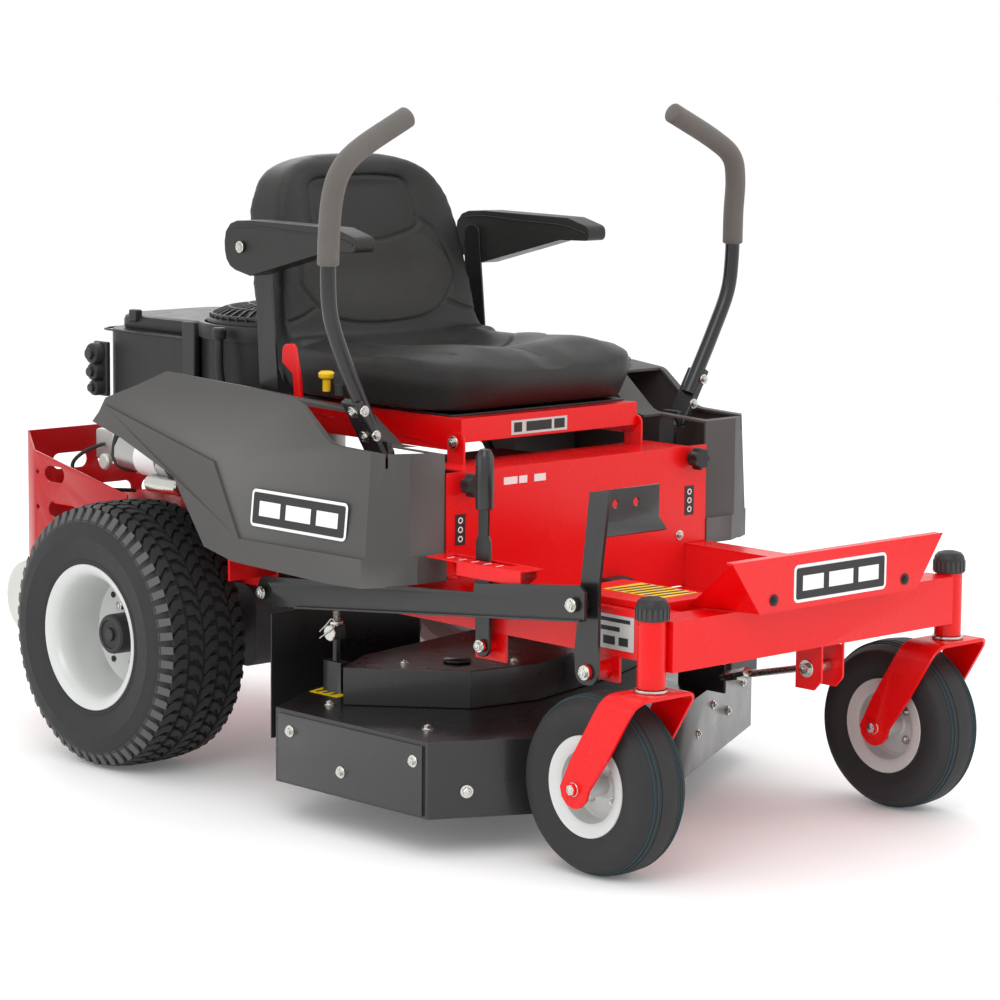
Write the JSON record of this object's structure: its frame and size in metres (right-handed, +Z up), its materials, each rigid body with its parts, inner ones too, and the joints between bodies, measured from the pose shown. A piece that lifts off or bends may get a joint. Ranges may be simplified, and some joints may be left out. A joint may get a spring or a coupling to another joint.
{
  "type": "riding lawn mower",
  "caption": "Zero-turn riding mower: tilting seat, twin lap-bar levers, swivelling front casters, rear engine with slotted guard, and a lifting belly deck with bladed spindles.",
  "frame": {"origin": "centre of the bounding box's base, on the ground under the machine", "axes": "+Z up, -Y to the front of the machine, -X to the seated operator's right"},
  "size_m": [1, 1.914, 1.1428],
  "materials": {
    "red_paint": "gloss powder coat",
    "black_paint": "satin",
    "rim_paint": "satin silver paint",
    "fender_plastic": "fine texture",
    "black_plastic": "fine texture",
    "yellow_plastic": "gloss",
    "vinyl": "grained vinyl",
    "tyre_rubber": "matte",
    "belt_rubber": "matte",
    "foam": "matte foam",
    "zinc": "zinc plated",
    "aluminium": "as cast",
    "cast_iron": "as cast",
    "pale_steel": "aluminised"
  },
  "bodies": {
    "chassis": {"main_frame": "red_paint", "foot_pan": "red_paint", "riser_panel": "red_paint", "bumper_plate": "red_paint", "height_gate": "red_paint", "rear_guard": "red_paint", "fender_right": "fender_plastic", "fender_left": "fender_plastic", "cup_holder": "fender_plastic", "engine_block": "aluminium", "blower_housing": "black_plastic", "engine_cover": "black_plastic", "starter_motor": "aluminium", "muffler": "pale_steel", "transaxle_right": "cast_iron", "transaxle_left": "cast_iron", "fuel_tank": "fender_plastic", "battery": "black_plastic", "rear_shield": "black_paint"},
    "crankshaft": {"cooling_screen": "black_plastic", "clutch_pulley": "cast_iron"},
    "deck": {"deck_shell": "black_paint", "belt_cover": "black_paint", "blade_belt": "belt_rubber"},
    "spindle_right": {"blade_right": "cast_iron"},
    "spindle_left": {"blade_left": "cast_iron"},
    "seat": {"seat_platform": "red_paint", "seat_pan": "black_paint", "seat_cushion": "vinyl", "seat_back": "vinyl"},
    "arm_right": {"armrest_right": "vinyl"},
    "arm_left": {"armrest_left": "vinyl"},
    "lift_pedal": {"lift_pedal": "black_paint"},
    "lift_link": {"lift_link": "black_paint"},
    "lift_shaft": {"lift_shaft": "black_paint"},
    "height_lever": {"height_lever": "black_paint"},
    "front_link": {"front_link": "zinc"},
    "throttle": {"throttle_lever": "red_paint"},
    "choke": {"choke_knob": "yellow_plastic"},
    "key": {"ignition_key": "black_plastic"},
    "knob_right": {"panel_knob_right": "black_plastic"},
    "knob_left": {"panel_knob_left": "black_plastic"},
    "fuel_cap": {"fuel_cap": "black_plastic"},
    "caster_right": {"caster_fork_right": "red_paint"},
    "caster_wheel_right": {"caster_tyre_right": "tyre_rubber", "caster_rim_right": "rim_paint"},
    "drive_wheel_right": {"drive_tyre_right": "tyre_rubber", "drive_rim_right": "rim_paint"},
    "lever_base_right": {"lap_base_right": "cast_iron"},
    "lever_right": {"lap_bar_right": "black_paint", "lap_grip_right": "foam"},
    "caster_left": {"caster_fork_left": "red_paint"},
    "caster_wheel_left": {"caster_tyre_left": "tyre_rubber", "caster_rim_left": "rim_paint"},
    "drive_wheel_left": {"drive_tyre_left": "tyre_rubber", "drive_rim_left": "rim_paint"},
    "lever_base_left": {"lap_base_left": "cast_iron"},
    "lever_left": {"lap_bar_left": "black_paint", "lap_grip_left": "foam"}
  },
  "joints": [
    {"name": "deck_lift", "type": "slide", "parent": "chassis", "child": "deck", "axis": [0, 0, 1], "range_m": [-0.03, 0.045]},
    {"name": "crankshaft_spin", "type": "hinge", "parent": "chassis", "child": "crankshaft", "pos_m": [0, 0.35, 0.58], "axis": [0, 0, 1], "continuous": true},
    {"name": "caster_right_swivel", "type": "hinge", "parent": "chassis", "child": "caster_right", "pos_m": [-0.344, -0.89, 0.35], "axis": [0, 0, 1], "continuous": true},
    {"name": "caster_right_roll", "type": "hinge", "parent": "caster_right", "child": "caster_wheel_right", "pos_m": [-0.344, -0.795, 0.1397], "axis": [1, 0, 0], "continuous": true},
    {"name": "drive_right_roll", "type": "hinge", "parent": "chassis", "child": "drive_wheel_right", "pos_m": [-0.405, 0.305, 0.2285], "axis": [1, 0, 0], "continuous": true},
    {"name": "lever_right_drive", "type": "hinge", "parent": "chassis", "child": "lever_base_right", "pos_m": [-0.326, -0.273, 0.5], "axis": [1, 0, 0], "range_deg": [-15, 15], "stiffness_Nm_per_rad": 80},
    {"name": "lever_right_swing", "type": "hinge", "parent": "lever_base_right", "child": "lever_right", "pos_m": [-0.332, -0.273, 0.585], "axis": [0, -1, 0], "range_deg": [0, 25]},
    {"name": "armrest_right_fold", "type": "hinge", "parent": "seat", "child": "arm_right", "pos_m": [-0.26675, 0.14, 0.897], "axis": [-1, 0, 0], "range_deg": [0, 80]},
    {"name": "knob_right_turn", "type": "hinge", "parent": "chassis", "child": "knob_right", "pos_m": [-0.262, -0.3905, 0.546], "axis": [0, 1, 0], "continuous": true},
    {"name": "caster_left_swivel", "type": "hinge", "parent": "chassis", "child": "caster_left", "pos_m": [0.344, -0.89, 0.35], "axis": [0, 0, 1], "continuous": true},
    {"name": "caster_left_roll", "type": "hinge", "parent": "caster_left", "child": "caster_wheel_left", "pos_m": [0.344, -0.795, 0.1397], "axis": [1, 0, 0], "continuous": true},
    {"name": "drive_left_roll", "type": "hinge", "parent": "chassis", "child": "drive_wheel_left", "pos_m": [0.405, 0.305, 0.2285], "axis": [1, 0, 0], "continuous": true},
    {"name": "lever_left_drive", "type": "hinge", "parent": "chassis", "child": "lever_base_left", "pos_m": [0.326, -0.273, 0.5], "axis": [1, 0, 0], "range_deg": [-15, 15], "stiffness_Nm_per_rad": 80},
    {"name": "lever_left_swing", "type": "hinge", "parent": "lever_base_left", "child": "lever_left", "pos_m": [0.332, -0.273, 0.585], "axis": [0, 1, 0], "range_deg": [0, 25]},
    {"name": "armrest_left_fold", "type": "hinge", "parent": "seat", "child": "arm_left", "pos_m": [0.26675, 0.14, 0.897], "axis": [-1, 0, 0], "range_deg": [0, 80]},
    {"name": "knob_left_turn", "type": "hinge", "parent": "chassis", "child": "knob_left", "pos_m": [0.262, -0.3905, 0.546], "axis": [0, 1, 0], "continuous": true},
    {"name": "blade_right_spin", "type": "hinge", "parent": "deck", "child": "spindle_right", "pos_m": [-0.225, -0.335, 0.15], "axis": [0, 0, 1], "continuous": true},
    {"name": "blade_left_spin", "type": "hinge", "parent": "deck", "child": "spindle_left", "pos_m": [0.205, -0.21, 0.15], "axis": [0, 0, 1], "continuous": true},
    {"name": "seat_tilt", "type": "hinge", "parent": "chassis", "child": "seat", "pos_m": [0, -0.309, 0.601], "axis": [1, 0, 0], "range_deg": [0, 35]},
    {"name": "lift_shaft_turn", "type": "hinge", "parent": "chassis", "child": "lift_shaft", "pos_m": [0, -0.006, 0.42], "axis": [1, 0, 0], "range_deg": [-17, 11.5]},
    {"name": "lift_pedal_press", "type": "hinge", "parent": "chassis", "child": "lift_pedal", "pos_m": [-0.335, -0.748, 0.302], "axis": [1, 0, 0], "range_deg": [-9.5, 14.2]},
    {"name": "lift_link_turn", "type": "hinge", "parent": "lift_pedal", "child": "lift_link", "pos_m": [-0.355, -0.739, 0.407], "axis": [1, 0, 0], "range_deg": [-14.2, 9.5]},
    {"name": "height_lever_set", "type": "hinge", "parent": "chassis", "child": "height_lever", "pos_m": [-0.315, -0.493, 0.305], "axis": [1, 0, 0], "range_deg": [-10.5, 7]},
    {"name": "front_link_turn", "type": "hinge", "parent": "chassis", "child": "front_link", "pos_m": [0.035, -0.885, 0.285], "axis": [1, 0, 0], "range_deg": [-6, 9]},
    {"name": "throttle_set", "type": "hinge", "parent": "chassis", "child": "throttle", "pos_m": [-0.3, -0.027, 0.64], "axis": [1, 0, 0], "range_deg": [-18, 18]},
    {"name": "choke_pull", "type": "slide", "parent": "chassis", "child": "choke", "axis": [0, 0, 1], "range_m": [0, 0.02]},
    {"name": "key_turn", "type": "hinge", "parent": "chassis", "child": "key", "pos_m": [-0.3, -0.128, 0.69], "axis": [0, 0, 1], "range_deg": [0, 75]},
    {"name": "fuel_cap_turn", "type": "hinge", "parent": "chassis", "child": "fuel_cap", "pos_m": [0.345, 0.095, 0.7], "axis": [0, 0, 1], "continuous": true}
  ],
  "couplings": [
    {"joint": "blade_left_spin", "follows": "blade_right_spin", "ratio": 1},
    {"joint": "lift_shaft_turn", "follows": "deck_lift", "rad_per_m": -6.54},
    {"joint": "lift_pedal_press", "follows": "deck_lift", "rad_per_m": 5.42},
    {"joint": "lift_link_turn", "follows": "deck_lift", "rad_per_m": -5.42},
    {"joint": "height_lever_set", "follows": "deck_lift", "rad_per_m": -4},
    {"joint": "front_link_turn", "follows": "deck_lift", "rad_per_m": 3.39}
  ]
}
